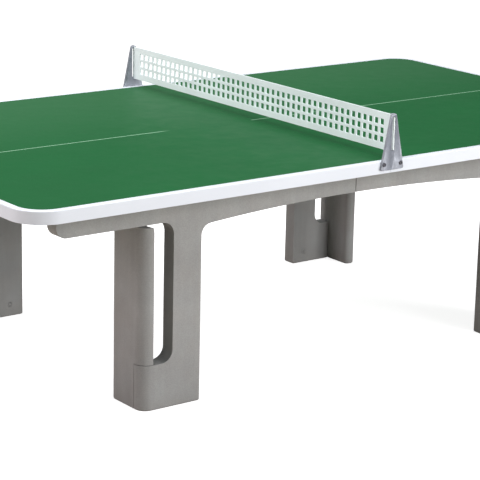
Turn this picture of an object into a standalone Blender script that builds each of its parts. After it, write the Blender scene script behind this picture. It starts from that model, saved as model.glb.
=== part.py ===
"""Outdoor table-tennis table: two slab halves on a concrete underframe, with a fixed metal net.

X runs along the table, Y across it and Z up. The origin is on the floor below the table's middle.
Every sub-part is its own object, in metres.
"""
import math

import bmesh
import bpy

# Top: two slab halves that meet at the net.
TOP_LENGTH = 2.740
TOP_WIDTH = 1.525
TOP_HEIGHT = 0.760
TOP_THICKNESS = 0.041
TOP_CORNER_RADIUS = 0.110
TOP_JOINT_GAP = 0.0010
BAND_WALL = 0.003
BAND_LINE_WIDTH = 0.024
BAND_EDGE_RADIUS = 0.0020

# Side panels: apron, post and foot block in one casting.
SIDE_RECESS = 0.172
SIDE_THICKNESS = 0.055
APRON_OUTER_DEPTH = 0.101
APRON_END_SETBACK = 0.196
APRON_END_RADIUS = 0.036
ARCH_RISE = 0.024
ARCH_DEPTH_AT_POST = 0.125
SEAM_GAP = 0.003
LEG_OUTER_X = 0.860
POST_OUTER_X = 0.742
POST_WIDTH = 0.107
POST_FILLET = 0.038
SLOT_RADIUS = 0.042
FOOT_HEIGHT = 0.1535
FOOT_LAP = 0.045
CORNER_RADIUS = 0.040

# End frames: two legs and a cross beam in one casting, with tongues in the side panels' slots.
END_THICKNESS = 0.044
END_LEG_WIDTH = 0.121
END_BEAM_DEPTH = 0.110
END_FILLET = 0.040
END_LEG_ROUNDING = 0.018
END_LEG_ROUNDING_STEPS = 4
TONGUE_TOP_GAP = 0.011
TONGUE_ROUNDING = 0.018

# Net and its brackets.
NET_TOP_ABOVE_TABLE = 0.1525
NET_GAP_ABOVE_TABLE = 0.0285
NET_THICKNESS = 0.005
NET_HOLE = 0.020
NET_HOLE_PITCH = 0.0295
NET_COLUMNS = 49
NET_ROWS = 3
NET_TAB_SHOULDER = 0.0070
NET_TAB_RECESS = 0.0010
BRACKET_THICKNESS = 0.007
BRACKET_BASE_WIDTH = 0.098
BRACKET_TOP_WIDTH = 0.020
BRACKET_TOP_ABOVE_NET = 0.0055
BRACKET_BELOW_TOP = 0.0295
BRACKET_SLOT_WIDTH = 0.012
BRACKET_CORNER_RADIUS = 0.008
BRACKET_TOP_CORNER_RADIUS = 0.009
SCREW_SPACING = 0.071
SCREW_BELOW_TOP = 0.0095

# Fixings.
BOLT_RADIUS = 0.005
BOLT_HEAD_RADIUS = 0.0095
BOLT_HEAD_HEIGHT = 0.0065
BOLT_GRIP = 0.030
SCREW_RADIUS = 0.003
SCREW_HEAD_RADIUS = 0.0070
SCREW_HEAD_HEIGHT = 0.003
SCREW_GRIP = 0.030
PLATE_THICKNESS = 0.005
SEAM_PLATE_LENGTH = 0.160
SEAM_PLATE_HEIGHT = 0.060
SEAM_BOLT_FIRST = 0.025
SEAM_BOLT_SPACING = 0.035
SEAM_PLATE_BELOW_TOP = 0.022
CLEAT_LEG = 0.050
CLEAT_BOLT_FROM_CORNER = 0.030
CORNER_CLEAT_HEIGHT = 0.070
CORNER_CLEAT_BELOW_TOP = 0.015
TOP_CLEAT_LENGTH = 0.060
TOP_CLEAT_X = 0.360
SLEEVE_RADIUS = 0.0090
SLEEVE_BORE_RADIUS = 0.0060
SLEEVE_DEPTH = 0.030
SLEEVE_FLOOR = 0.005
SLEEVE_HEIGHT = 0.046

# Clearances.
TOUCH = 0.0003
CASTING_GAP = 0.0018
BORE_CLEARANCE = 0.0003
HOLE_BOTTOM_CLEARANCE = 0.002

# Smoothness of the round shapes.
CORNER_STEPS = 10
ARC_STEPS = 7
ARCH_STEPS = 8
ROUND_STEPS = 12

# Derived places.
HALF_LENGTH = TOP_LENGTH / 2
HALF_WIDTH = TOP_WIDTH / 2
SLAB_BOTTOM = TOP_HEIGHT - TOP_THICKNESS
FRAME_TOP = SLAB_BOTTOM - TOUCH
SIDE_OUTER_Y = HALF_WIDTH - SIDE_RECESS
SIDE_INNER_Y = SIDE_OUTER_Y - SIDE_THICKNESS
POST_INNER_X = POST_OUTER_X - POST_WIDTH
APRON_BOTTOM = SLAB_BOTTOM - APRON_OUTER_DEPTH
ARCH_BOTTOM = SLAB_BOTTOM - ARCH_DEPTH_AT_POST
END_INNER_X = LEG_OUTER_X - END_THICKNESS
LAP_Y = SIDE_OUTER_Y - FOOT_LAP
NET_TOP = TOP_HEIGHT + NET_TOP_ABOVE_TABLE
NET_BOTTOM = TOP_HEIGHT + NET_GAP_ABOVE_TABLE
NET_X = (BRACKET_SLOT_WIDTH - NET_THICKNESS) / 2 - TOUCH
BRACKET_BACK_Y = HALF_WIDTH + TOUCH
BRACKET_FRONT_Y = BRACKET_BACK_Y + BRACKET_THICKNESS
CORNER_CLEAT_TOP = SLAB_BOTTOM - CORNER_CLEAT_BELOW_TOP
CORNER_CLEAT_BOLT_Z = CORNER_CLEAT_TOP - CORNER_CLEAT_HEIGHT / 2
SEAM_PLATE_TOP = SLAB_BOTTOM - SEAM_PLATE_BELOW_TOP
SEAM_BOLT_Z = SEAM_PLATE_TOP - SEAM_PLATE_HEIGHT / 2
TOP_CLEAT_BOLT_Z = FRAME_TOP - CLEAT_BOLT_FROM_CORNER
SCREW_Z = TOP_HEIGHT - SCREW_BELOW_TOP
SLEEVE_X = (POST_OUTER_X + POST_INNER_X) / 2
SIDE_NAMES = {-1: "front", 1: "back"}
END_NAMES = {-1: "left", 1: "right"}


def clear_scene():
    for old in list(bpy.data.objects):
        bpy.data.objects.remove(old, do_unlink=True)


def make_material(name, color, roughness, metallic=0.0):
    material = bpy.data.materials.new(name)
    material.use_nodes = True
    shader = material.node_tree.nodes["Principled BSDF"]
    shader.inputs["Base Color"].default_value = (*color, 1.0)
    shader.inputs["Roughness"].default_value = roughness
    shader.inputs["Metallic"].default_value = metallic
    return material


def make_materials():
    return {
        "green": make_material("green_coated_slab", (0.035, 0.165, 0.060), 0.35),
        "white": make_material("white_edge_band", (0.85, 0.86, 0.88), 0.40),
        "concrete": make_material("grey_cast_concrete", (0.36, 0.35, 0.34), 0.85),
        "net": make_material("light_grey_net_coating", (0.66, 0.68, 0.72), 0.45, 0.2),
        "bracket": make_material("grey_cast_bracket", (0.40, 0.42, 0.48), 0.45, 0.5),
        "steel": make_material("zinc_plated_steel", (0.55, 0.56, 0.58), 0.35, 0.9),
    }


def add_object(name, bm, material):
    """Turns a closed bmesh into a named object with outward faces."""
    bmesh.ops.recalc_face_normals(bm, faces=bm.faces)
    mesh = bpy.data.meshes.new(name)
    bm.to_mesh(mesh)
    bm.free()
    mesh.materials.append(material)
    mesh.shade_smooth()
    mesh.set_sharp_from_angle(angle=math.radians(30))
    piece = bpy.data.objects.new(name, mesh)
    bpy.context.scene.collection.objects.link(piece)
    return piece


def arc(center, radius, start, end, steps=ARC_STEPS):
    """Points of an arc in a plane, from start to end in degrees."""
    points = []
    for step in range(steps + 1):
        angle = math.radians(start + (end - start) * step / steps)
        points.append((center[0] + radius * math.cos(angle), center[1] + radius * math.sin(angle)))
    return points


def place_xz(u, v, depth):
    return (u, depth, v)


def place_yz(u, v, depth):
    return (depth, u, v)


def place_xy(u, v, depth):
    return (u, v, depth)


def prism(outline, place, low, high):
    """A closed prism over an outline, between two depths along the outline's normal."""
    bm = bmesh.new()
    near = [bm.verts.new(place(u, v, low)) for u, v in outline]
    far = [bm.verts.new(place(u, v, high)) for u, v in outline]
    bm.faces.new(near)
    bm.faces.new(list(reversed(far)))
    for index, start in enumerate(near):
        following = (index + 1) % len(near)
        bm.faces.new((near[following], start, far[index], far[following]))
    return bm


def bevel_edge(bm, middle, radius, steps):
    """Rounds the one edge whose middle is nearest to a point."""
    def distance(edge):
        center = (edge.verts[0].co + edge.verts[1].co) / 2
        return sum((a - b) ** 2 for a, b in zip(center, middle))
    edge = min(bm.edges, key=distance)
    bmesh.ops.bevel(bm, geom=[edge], offset=radius, segments=steps, profile=0.5, affect="EDGES")


def stack(rings):
    """A closed body through rings of equal length, capped at both ends."""
    bm = bmesh.new()
    loops = [[bm.verts.new(point) for point in ring] for ring in rings]
    bm.faces.new(loops[0])
    bm.faces.new(list(reversed(loops[-1])))
    for lower, upper in zip(loops, loops[1:]):
        for index in range(len(lower)):
            following = (index + 1) % len(lower)
            bm.faces.new((lower[index], lower[following], upper[following], upper[index]))
    return bm


def frame_along(axis):
    """Two directions across an axis letter, and the axis itself, as index numbers."""
    along = "XYZ".index(axis)
    return (along + 1) % 3, (along + 2) % 3, along


def ring(center, axis, radius, offset, steps=ROUND_STEPS, hexagon=False):
    """A round or six-sided ring of points about an axis, at an offset along it."""
    first, second, along = frame_along(axis)
    points = []
    for step in range(steps):
        angle = 2 * math.pi * step / steps
        reach = radius
        if hexagon and step % 2:
            reach = radius * math.cos(math.pi / 6)
        point = list(center)
        point[first] += reach * math.cos(angle)
        point[second] += reach * math.sin(angle)
        point[along] += offset
        points.append(tuple(point))
    return points


def cylinder(center, axis, radius, start, end):
    return stack([ring(center, axis, radius, start), ring(center, axis, radius, end)])


def cut_with(piece, cutter_bm, label):
    """Cuts a closed bmesh out of a piece with a Boolean."""
    name = "%s_%s_cutter" % (piece.name, label)
    bmesh.ops.recalc_face_normals(cutter_bm, faces=cutter_bm.faces)
    mesh = bpy.data.meshes.new(name)
    cutter_bm.to_mesh(mesh)
    cutter_bm.free()
    cutter = bpy.data.objects.new(name, mesh)
    bpy.context.scene.collection.objects.link(cutter)
    cutter.hide_render = True
    cutter.display_type = "WIRE"
    modifier = piece.modifiers.new(label, "BOOLEAN")
    modifier.operation = "DIFFERENCE"
    modifier.solver = "EXACT"
    modifier.object = cutter


def cut_bores(piece, bores):
    """Cuts round holes: each is a centre, axis, radius, start and end along the axis."""
    cutter_bm = bmesh.new()
    scratch = bpy.data.meshes.new("scratch")
    for center, axis, radius, start, end in bores:
        bore = cylinder(center, axis, radius, start, end)
        bore.to_mesh(scratch)
        bore.free()
        cutter_bm.from_mesh(scratch)
    bpy.data.meshes.remove(scratch)
    cut_with(piece, cutter_bm, "bores")


def bore_into(face, axis, direction, radius, depth, lead=TOUCH):
    """A bore that starts just off a face and goes in along a direction."""
    low, high = sorted((-direction * lead, direction * depth))
    return (face, axis, radius, low, high)


def make_bolt(name, seat, axis, direction, material, radius=BOLT_RADIUS, head_radius=BOLT_HEAD_RADIUS,
              head_height=BOLT_HEAD_HEIGHT, grip=BOLT_GRIP, hexagon=True):
    """A headed bolt: its head stands on the seat and its shank goes in along the direction."""
    under = -direction * TOUCH
    top = under - direction * head_height
    rings = [
        ring(seat, axis, head_radius, top, hexagon=hexagon),
        ring(seat, axis, head_radius, under, hexagon=hexagon),
        ring(seat, axis, radius, under),
        ring(seat, axis, radius, direction * grip),
    ]
    return add_object(name, stack(rings), material)


def half_path(side, inset):
    """The outline of one top half, from the joint round both corners and back to the joint."""
    joint = side * TOP_JOINT_GAP / 2
    radius = TOP_CORNER_RADIUS - inset
    corner_x = HALF_LENGTH - TOP_CORNER_RADIUS
    corner_y = HALF_WIDTH - TOP_CORNER_RADIUS
    points = [(joint, -(HALF_WIDTH - inset))]
    for u, v in arc((corner_x, -corner_y), radius, -90, 0, CORNER_STEPS):
        points.append((side * u, v))
    for u, v in arc((corner_x, corner_y), radius, 0, 90, CORNER_STEPS):
        points.append((side * u, v))
    points.append((joint, HALF_WIDTH - inset))
    return points


def sweep_profile(side, profile, closed):
    """Sweeps a profile of (inset, height) points along a top half's outline."""
    bm = bmesh.new()
    lines = []
    for inset, height in profile:
        lines.append([bm.verts.new((x, y, height)) for x, y in half_path(side, inset)])
    pairs = list(zip(lines, lines[1:]))
    if closed:
        pairs.append((lines[-1], lines[0]))
    for lower, upper in pairs:
        for index in range(len(lower) - 1):
            bm.faces.new((lower[index], lower[index + 1], upper[index + 1], upper[index]))
    start = [line[0] for line in lines]
    finish = [line[-1] for line in lines]
    if closed:
        bm.faces.new(start)
        bm.faces.new(list(reversed(finish)))
    else:
        bm.faces.new(start + list(reversed(finish)))
        bm.faces.new(lines[0])
        bm.faces.new(list(reversed(lines[-1])))
    return bm


def make_top_half(side, materials):
    name = "top_slab_" + END_NAMES[side]
    wall = BAND_WALL + TOUCH
    ledge = TOP_HEIGHT - BAND_WALL - TOUCH
    field = BAND_LINE_WIDTH + TOUCH
    profile = [(wall, SLAB_BOTTOM), (wall, ledge), (field, ledge), (field, TOP_HEIGHT)]
    slab = add_object(name, sweep_profile(side, profile, closed=False), materials["green"])
    bores = []
    for across in (-1, 1):
        under = (side * TOP_CLEAT_X, across * (SIDE_INNER_Y - CLEAT_BOLT_FROM_CORNER), SLAB_BOTTOM)
        depth = BOLT_GRIP - PLATE_THICKNESS + HOLE_BOTTOM_CLEARANCE
        bores.append(bore_into(under, "Z", 1, BOLT_RADIUS + BORE_CLEARANCE, depth))
        edge = (side * SCREW_SPACING / 2, across * HALF_WIDTH, SCREW_Z)
        depth = SCREW_GRIP - BRACKET_THICKNESS + HOLE_BOTTOM_CLEARANCE
        bores.append(bore_into(edge, "Y", -across, SCREW_RADIUS + BORE_CLEARANCE, depth))
    cut_bores(slab, bores)


def make_edge_band(side, materials):
    name = "edge_band_" + END_NAMES[side]
    soft = BAND_EDGE_RADIUS
    profile = [
        (0.0, SLAB_BOTTOM),
        (0.0, TOP_HEIGHT - soft),
        (soft, TOP_HEIGHT),
        (BAND_LINE_WIDTH, TOP_HEIGHT),
        (BAND_LINE_WIDTH, TOP_HEIGHT - BAND_WALL),
        (BAND_WALL, TOP_HEIGHT - BAND_WALL),
        (BAND_WALL, SLAB_BOTTOM),
    ]
    band = add_object(name, sweep_profile(side, profile, closed=True), materials["white"])
    bores = []
    for across in (-1, 1):
        edge = (side * SCREW_SPACING / 2, across * HALF_WIDTH, SCREW_Z)
        bores.append(bore_into(edge, "Y", -across, SCREW_RADIUS + BORE_CLEARANCE, 2 * BAND_WALL))
    cut_bores(band, bores)


def arch_height(x):
    """Lower edge of the apron between the posts: a shallow arch that is highest at the seam."""
    rise = ARCH_RISE * (1 - (x / (POST_INNER_X - POST_FILLET)) ** 2)
    return ARCH_BOTTOM + rise


def side_outline(side):
    """Outline of a side panel in X and Z, from the apron's outer top corner downwards."""
    end_x = HALF_LENGTH - APRON_END_SETBACK
    points = [(end_x, FRAME_TOP)]
    points += arc((end_x - APRON_END_RADIUS, APRON_BOTTOM + APRON_END_RADIUS), APRON_END_RADIUS, 0, -90)
    slot_x = POST_OUTER_X + SLOT_RADIUS
    points += arc((slot_x, APRON_BOTTOM - SLOT_RADIUS), SLOT_RADIUS, 90, 180)
    points += arc((slot_x, FOOT_HEIGHT + SLOT_RADIUS), SLOT_RADIUS, 180, 270)
    points += [(LEG_OUTER_X, FOOT_HEIGHT), (LEG_OUTER_X, 0.0), (POST_INNER_X, 0.0)]
    fillet_x = POST_INNER_X - POST_FILLET
    points += arc((fillet_x, ARCH_BOTTOM - POST_FILLET), POST_FILLET, 0, 90)
    for step in range(1, ARCH_STEPS + 1):
        x = fillet_x + (SEAM_GAP / 2 - fillet_x) * step / ARCH_STEPS
        points.append((x, arch_height(x)))
    points.append((SEAM_GAP / 2, FRAME_TOP))
    return [(side * x, z) for x, z in points]


def make_side_panel(side, across, materials):
    name = "side_panel_%s_%s" % (SIDE_NAMES[across], END_NAMES[side])
    low, high = sorted((across * SIDE_INNER_Y, across * SIDE_OUTER_Y))
    bm = prism(side_outline(side), place_xz, low, high)
    corner = (side * LEG_OUTER_X, across * SIDE_OUTER_Y, FOOT_HEIGHT / 2)
    bevel_edge(bm, corner, CORNER_RADIUS, ARC_STEPS)
    panel = add_object(name, bm, materials["concrete"])
    inner = across * SIDE_INNER_Y
    lap_start = END_INNER_X - CASTING_GAP
    lap_end = LEG_OUTER_X + SIDE_THICKNESS
    lap = [(lap_start, -SIDE_THICKNESS), (lap_end, -SIDE_THICKNESS),
           (lap_end, FOOT_HEIGHT + TOUCH), (lap_start, FOOT_HEIGHT + TOUCH)]
    near, far = sorted((inner - across * SIDE_THICKNESS, across * LAP_Y))
    cut_with(panel, prism([(side * x, z) for x, z in lap], place_xz, near, far), "foot_lap")
    bolt_depth = BOLT_GRIP - PLATE_THICKNESS + HOLE_BOTTOM_CLEARANCE
    bolt_bore = BOLT_RADIUS + BORE_CLEARANCE
    places = [(side * x, SEAM_BOLT_Z) for x in seam_bolt_places()]
    places.append((side * TOP_CLEAT_X, TOP_CLEAT_BOLT_Z))
    places.append((side * (END_INNER_X - CLEAT_BOLT_FROM_CORNER), CORNER_CLEAT_BOLT_Z))
    bores = [bore_into((x, inner, z), "Y", across, bolt_bore, bolt_depth) for x, z in places]
    sleeve = (side * SLEEVE_X, inner, SLEEVE_HEIGHT)
    depth = SLEEVE_DEPTH + TOUCH
    bores.append(bore_into(sleeve, "Y", across, SLEEVE_RADIUS + BORE_CLEARANCE, depth))
    cut_bores(panel, bores)


def end_outline():
    """Outline of an end frame in Y and Z: two legs, a cross beam and the two tongues."""
    inner_y = SIDE_INNER_Y - TOUCH
    lap_y = LAP_Y - CASTING_GAP
    free_y = inner_y - END_LEG_WIDTH
    beam_z = FRAME_TOP - END_BEAM_DEPTH
    tongue_low = FOOT_HEIGHT + CASTING_GAP
    tongue_top = APRON_BOTTOM - TONGUE_TOP_GAP
    half = [(inner_y, FRAME_TOP), (inner_y, tongue_top), (SIDE_OUTER_Y, tongue_top)]
    half += [(SIDE_OUTER_Y, tongue_low), (lap_y, tongue_low), (lap_y, 0.0), (free_y, 0.0)]
    half += arc((free_y - END_FILLET, beam_z - END_FILLET), END_FILLET, 0, 90)
    return half + [(-y, z) for y, z in reversed(half)]


def round_opening(bm):
    """Rounds the edges of the opening between the legs, on both faces."""
    reach_y = SIDE_INNER_Y - TOUCH - END_LEG_WIDTH + TOUCH / 2
    reach_z = FRAME_TOP - END_BEAM_DEPTH + TOUCH / 2
    chosen = []
    for edge in bm.edges:
        inside = all(abs(vert.co.y) < reach_y and vert.co.z < reach_z for vert in edge.verts)
        same_face = abs(edge.verts[0].co.x - edge.verts[1].co.x) < TOUCH
        on_floor = all(vert.co.z < TOUCH for vert in edge.verts)
        if inside and same_face and not on_floor:
            chosen.append(edge)
    bmesh.ops.bevel(bm, geom=chosen, offset=END_LEG_ROUNDING, segments=END_LEG_ROUNDING_STEPS,
                    profile=0.5, affect="EDGES")


def make_end_frame(side, materials):
    low, high = sorted((side * END_INNER_X, side * LEG_OUTER_X))
    bm = prism(end_outline(), place_yz, low, high)
    tongue_top = APRON_BOTTOM - TONGUE_TOP_GAP
    tongue_middle = (tongue_top + FOOT_HEIGHT) / 2
    for across in (-1, 1):
        middle_y = across * (SIDE_INNER_Y + SIDE_OUTER_Y) / 2
        corner = (side * LEG_OUTER_X, across * SIDE_OUTER_Y, tongue_middle)
        bevel_edge(bm, corner, CORNER_RADIUS, ARC_STEPS)
        bevel_edge(bm, (side * END_INNER_X, middle_y, tongue_top), TONGUE_ROUNDING, ARC_STEPS)
    round_opening(bm)
    frame = add_object("end_frame_" + END_NAMES[side], bm, materials["concrete"])
    bores = []
    for across in (-1, 1):
        y = across * (SIDE_INNER_Y - CLEAT_BOLT_FROM_CORNER)
        face = (side * END_INNER_X, y, CORNER_CLEAT_BOLT_Z)
        depth = BOLT_GRIP - PLATE_THICKNESS + HOLE_BOTTOM_CLEARANCE
        bores.append(bore_into(face, "X", side, BOLT_RADIUS + BORE_CLEARANCE, depth))
    cut_bores(frame, bores)


def net_outline():
    """Outline of the net plate in Y and Z, with a lower tab at each end."""
    body = HALF_WIDTH - TOUCH
    tab = BRACKET_FRONT_Y - NET_TAB_RECESS
    low = NET_BOTTOM + NET_TAB_SHOULDER
    high = NET_TOP - NET_TAB_SHOULDER
    right = [(body, NET_BOTTOM), (body, low), (tab, low), (tab, high), (body, high), (body, NET_TOP)]
    return right + [(-y, z) for y, z in reversed(right)]


def net_holes():
    """Corner points of every square hole in the net plate."""
    middle_z = (NET_TOP + NET_BOTTOM) / 2
    reach = NET_HOLE / 2
    holes = []
    for column in range(NET_COLUMNS):
        y = (column - (NET_COLUMNS - 1) / 2) * NET_HOLE_PITCH
        for row in range(NET_ROWS):
            z = middle_z + (row - (NET_ROWS - 1) / 2) * NET_HOLE_PITCH
            holes.append([(y - reach, z - reach), (y + reach, z - reach),
                          (y + reach, z + reach), (y - reach, z + reach)])
    return holes


def make_net(materials):
    bm = bmesh.new()
    edges = []
    for loop in [net_outline()] + net_holes():
        verts = [bm.verts.new((NET_X - NET_THICKNESS / 2, y, z)) for y, z in loop]
        for index, start in enumerate(verts):
            edges.append(bm.edges.new((start, verts[(index + 1) % len(verts)])))
    bmesh.ops.triangle_fill(bm, use_beauty=True, edges=edges)
    grown = bmesh.ops.extrude_face_region(bm, geom=list(bm.faces), use_keep_orig=True)
    far = [item for item in grown["geom"] if isinstance(item, bmesh.types.BMVert)]
    bmesh.ops.translate(bm, verts=far, vec=(NET_THICKNESS, 0, 0))
    add_object("net_plate", bm, materials["net"])


def bracket_outline():
    """Outline of a net bracket in X and Z: a taper with rounded corners."""
    top = NET_TOP + BRACKET_TOP_ABOVE_NET
    bottom = TOP_HEIGHT - BRACKET_BELOW_TOP
    half_base = BRACKET_BASE_WIDTH / 2
    half_top = BRACKET_TOP_WIDTH / 2
    radius = BRACKET_CORNER_RADIUS
    small = BRACKET_TOP_CORNER_RADIUS
    right = arc((half_base - radius, bottom + radius), radius, -90, 0)
    right += arc((half_top - small, top - small), small, 0, 90)
    return right + [(-x, z) for x, z in reversed(right)]


def make_bracket(across, materials):
    low, high = sorted((across * BRACKET_BACK_Y, across * BRACKET_FRONT_Y))
    bracket = add_object("net_bracket_" + SIDE_NAMES[across],
                         prism(bracket_outline(), place_xz, low, high), materials["bracket"])
    slot_low = NET_BOTTOM + NET_TAB_SHOULDER - TOUCH
    slot_high = NET_TOP - NET_TAB_SHOULDER + TOUCH
    half = BRACKET_SLOT_WIDTH / 2
    slot = [(-half, slot_low), (half, slot_low), (half, slot_high), (-half, slot_high)]
    margin = BRACKET_THICKNESS
    cut_with(bracket, prism(slot, place_xz, low - margin, high + margin), "slot")
    bores = []
    for side in (-1, 1):
        seat = (side * SCREW_SPACING / 2, across * BRACKET_FRONT_Y, SCREW_Z)
        radius = SCREW_RADIUS + BORE_CLEARANCE
        bores.append(bore_into(seat, "Y", -across, radius, 2 * BRACKET_THICKNESS))
        name = "bracket_screw_%s_%s" % (SIDE_NAMES[across], END_NAMES[side])
        make_bolt(name, seat, "Y", -across, materials["steel"], SCREW_RADIUS, SCREW_HEAD_RADIUS,
                  SCREW_HEAD_HEIGHT, SCREW_GRIP, hexagon=False)
    cut_bores(bracket, bores)


def seam_bolt_places():
    return (SEAM_BOLT_FIRST, SEAM_BOLT_FIRST + SEAM_BOLT_SPACING)


def make_seam_plate(across, materials):
    outer = across * (SIDE_INNER_Y - TOUCH)
    inner = outer - across * PLATE_THICKNESS
    half = SEAM_PLATE_LENGTH / 2
    bottom = SEAM_PLATE_TOP - SEAM_PLATE_HEIGHT
    outline = [(-half, bottom), (half, bottom), (half, SEAM_PLATE_TOP), (-half, SEAM_PLATE_TOP)]
    low, high = sorted((inner, outer))
    plate = add_object("seam_plate_" + SIDE_NAMES[across], prism(outline, place_xz, low, high),
                       materials["steel"])
    bores = []
    number = 0
    for side in (-1, 1):
        for x in seam_bolt_places():
            number += 1
            seat = (side * x, inner, SEAM_BOLT_Z)
            bores.append(bore_into(seat, "Y", across, BOLT_RADIUS + BORE_CLEARANCE, 2 * PLATE_THICKNESS))
            make_bolt("seam_bolt_%s_%d" % (SIDE_NAMES[across], number), seat, "Y", across,
                      materials["steel"])
    cut_bores(plate, bores)


def angle_outline(corner_u, corner_v, toward_u, toward_v, leg):
    """Outline of an L whose outer corner is at a point, with legs towards two directions."""
    wall = PLATE_THICKNESS
    shape = [(0, 0), (leg, 0), (leg, wall), (wall, wall), (wall, leg), (0, leg)]
    return [(corner_u + toward_u * u, corner_v + toward_v * v) for u, v in shape]


def make_corner_cleat(side, across, materials):
    place = "%s_%s" % (SIDE_NAMES[across], END_NAMES[side])
    corner_x = side * (END_INNER_X - TOUCH)
    corner_y = across * (SIDE_INNER_Y - TOUCH)
    outline = angle_outline(corner_x, corner_y, -side, -across, CLEAT_LEG)
    bm = prism(outline, place_xy, CORNER_CLEAT_TOP - CORNER_CLEAT_HEIGHT, CORNER_CLEAT_TOP)
    cleat = add_object("corner_cleat_" + place, bm, materials["steel"])
    radius = BOLT_RADIUS + BORE_CLEARANCE
    seat_a = (corner_x - side * CLEAT_BOLT_FROM_CORNER + side * TOUCH,
              corner_y - across * PLATE_THICKNESS, CORNER_CLEAT_BOLT_Z)
    seat_b = (corner_x - side * PLATE_THICKNESS,
              corner_y - across * CLEAT_BOLT_FROM_CORNER + across * TOUCH, CORNER_CLEAT_BOLT_Z)
    cut_bores(cleat, [bore_into(seat_a, "Y", across, radius, 2 * PLATE_THICKNESS),
                      bore_into(seat_b, "X", side, radius, 2 * PLATE_THICKNESS)])
    make_bolt("corner_bolt_side_" + place, seat_a, "Y", across, materials["steel"])
    make_bolt("corner_bolt_end_" + place, seat_b, "X", side, materials["steel"])


def make_top_cleat(side, across, materials):
    place = "%s_%s" % (SIDE_NAMES[across], END_NAMES[side])
    corner_y = across * (SIDE_INNER_Y - TOUCH)
    corner_z = FRAME_TOP
    outline = angle_outline(corner_y, corner_z, -across, -1, CLEAT_LEG)
    middle = side * TOP_CLEAT_X
    bm = prism(outline, place_yz, middle - TOP_CLEAT_LENGTH / 2, middle + TOP_CLEAT_LENGTH / 2)
    cleat = add_object("top_cleat_" + place, bm, materials["steel"])
    radius = BOLT_RADIUS + BORE_CLEARANCE
    seat_a = (middle, corner_y - across * PLATE_THICKNESS, TOP_CLEAT_BOLT_Z)
    seat_b = (middle, across * (SIDE_INNER_Y - CLEAT_BOLT_FROM_CORNER), corner_z - PLATE_THICKNESS)
    cut_bores(cleat, [bore_into(seat_a, "Y", across, radius, 2 * PLATE_THICKNESS),
                      bore_into(seat_b, "Z", 1, radius, 2 * PLATE_THICKNESS)])
    make_bolt("top_bolt_side_" + place, seat_a, "Y", across, materials["steel"])
    make_bolt("top_bolt_slab_" + place, seat_b, "Z", 1, materials["steel"])


def make_anchor_sleeve(side, across, materials):
    """A blind sleeve cast into the post's inner face, open towards the table's middle."""
    name = "anchor_sleeve_%s_%s" % (SIDE_NAMES[across], END_NAMES[side])
    mouth = (side * SLEEVE_X, across * SIDE_INNER_Y, SLEEVE_HEIGHT)
    rings = [
        ring(mouth, "Y", SLEEVE_BORE_RADIUS, across * (SLEEVE_DEPTH - SLEEVE_FLOOR)),
        ring(mouth, "Y", SLEEVE_BORE_RADIUS, 0.0),
        ring(mouth, "Y", SLEEVE_RADIUS, 0.0),
        ring(mouth, "Y", SLEEVE_RADIUS, across * SLEEVE_DEPTH),
    ]
    add_object(name, stack(rings), materials["steel"])


def main():
    clear_scene()
    materials = make_materials()
    for side in (-1, 1):
        make_top_half(side, materials)
        make_edge_band(side, materials)
        make_end_frame(side, materials)
        for across in (-1, 1):
            make_side_panel(side, across, materials)
            make_corner_cleat(side, across, materials)
            make_top_cleat(side, across, materials)
            make_anchor_sleeve(side, across, materials)
    for across in (-1, 1):
        make_bracket(across, materials)
        make_seam_plate(across, materials)
    make_net(materials)


main()
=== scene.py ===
import math

import bmesh
import bpy
from bpy.props import FloatProperty, FloatVectorProperty, IntProperty, PointerProperty
from mathutils import Matrix, Vector


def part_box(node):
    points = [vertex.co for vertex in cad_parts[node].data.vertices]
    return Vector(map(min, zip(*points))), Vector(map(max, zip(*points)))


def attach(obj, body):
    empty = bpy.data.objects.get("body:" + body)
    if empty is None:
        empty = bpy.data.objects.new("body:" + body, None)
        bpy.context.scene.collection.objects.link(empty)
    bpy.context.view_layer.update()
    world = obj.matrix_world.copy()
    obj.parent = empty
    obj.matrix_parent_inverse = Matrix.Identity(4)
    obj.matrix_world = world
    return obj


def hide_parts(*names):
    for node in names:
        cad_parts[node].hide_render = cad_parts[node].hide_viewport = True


bl_info = {
    "name": "Outdoor Ping Pong Table",
    "version": (1, 0, 0),
    "blender": (4, 5, 0),
    "location": "View3D > Sidebar > Ping Pong Table",
    "description": "Models the finished pieces of a concrete ping pong table round its packed frame",
    "category": "Add Mesh",
}

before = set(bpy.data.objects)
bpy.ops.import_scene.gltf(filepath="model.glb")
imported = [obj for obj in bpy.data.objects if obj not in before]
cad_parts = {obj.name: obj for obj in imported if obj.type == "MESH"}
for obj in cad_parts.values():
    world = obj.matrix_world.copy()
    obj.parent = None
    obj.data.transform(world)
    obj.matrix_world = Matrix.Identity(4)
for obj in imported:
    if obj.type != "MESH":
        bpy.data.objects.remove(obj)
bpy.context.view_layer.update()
BODY = "root"
CLOSE = 0.00005


def node_box(node):
    """Lowest and highest corner of a frame node as vectors."""
    low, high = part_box(node)
    return Vector(low), Vector(high)


BAND_LOW, BAND_HIGH = node_box("edge_band_right")
SLAB_LOW, SLAB_HIGH = node_box("top_slab_right")
PANEL_LOW, PANEL_HIGH = node_box("side_panel_back_right")
END_LOW, END_HIGH = node_box("end_frame_right")
NET_LOW, NET_HIGH = node_box("net_plate")
BRACKET_LOW, BRACKET_HIGH = node_box("net_bracket_back")
SCREW_LOW, SCREW_HIGH = node_box("bracket_screw_back_right")
SIDES = {"left": -1, "right": 1}
FACES = {"front": -1, "back": 1}


# Sizes and colours that a user would change.

def length(name, description, default):
    return FloatProperty(name=name, description=description, default=default, min=0.0, unit="LENGTH", precision=4)


def colour(name, description, default):
    return FloatVectorProperty(name=name, description=description, default=default, size=3, min=0.0, max=1.0,
                               subtype="COLOR")


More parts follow.
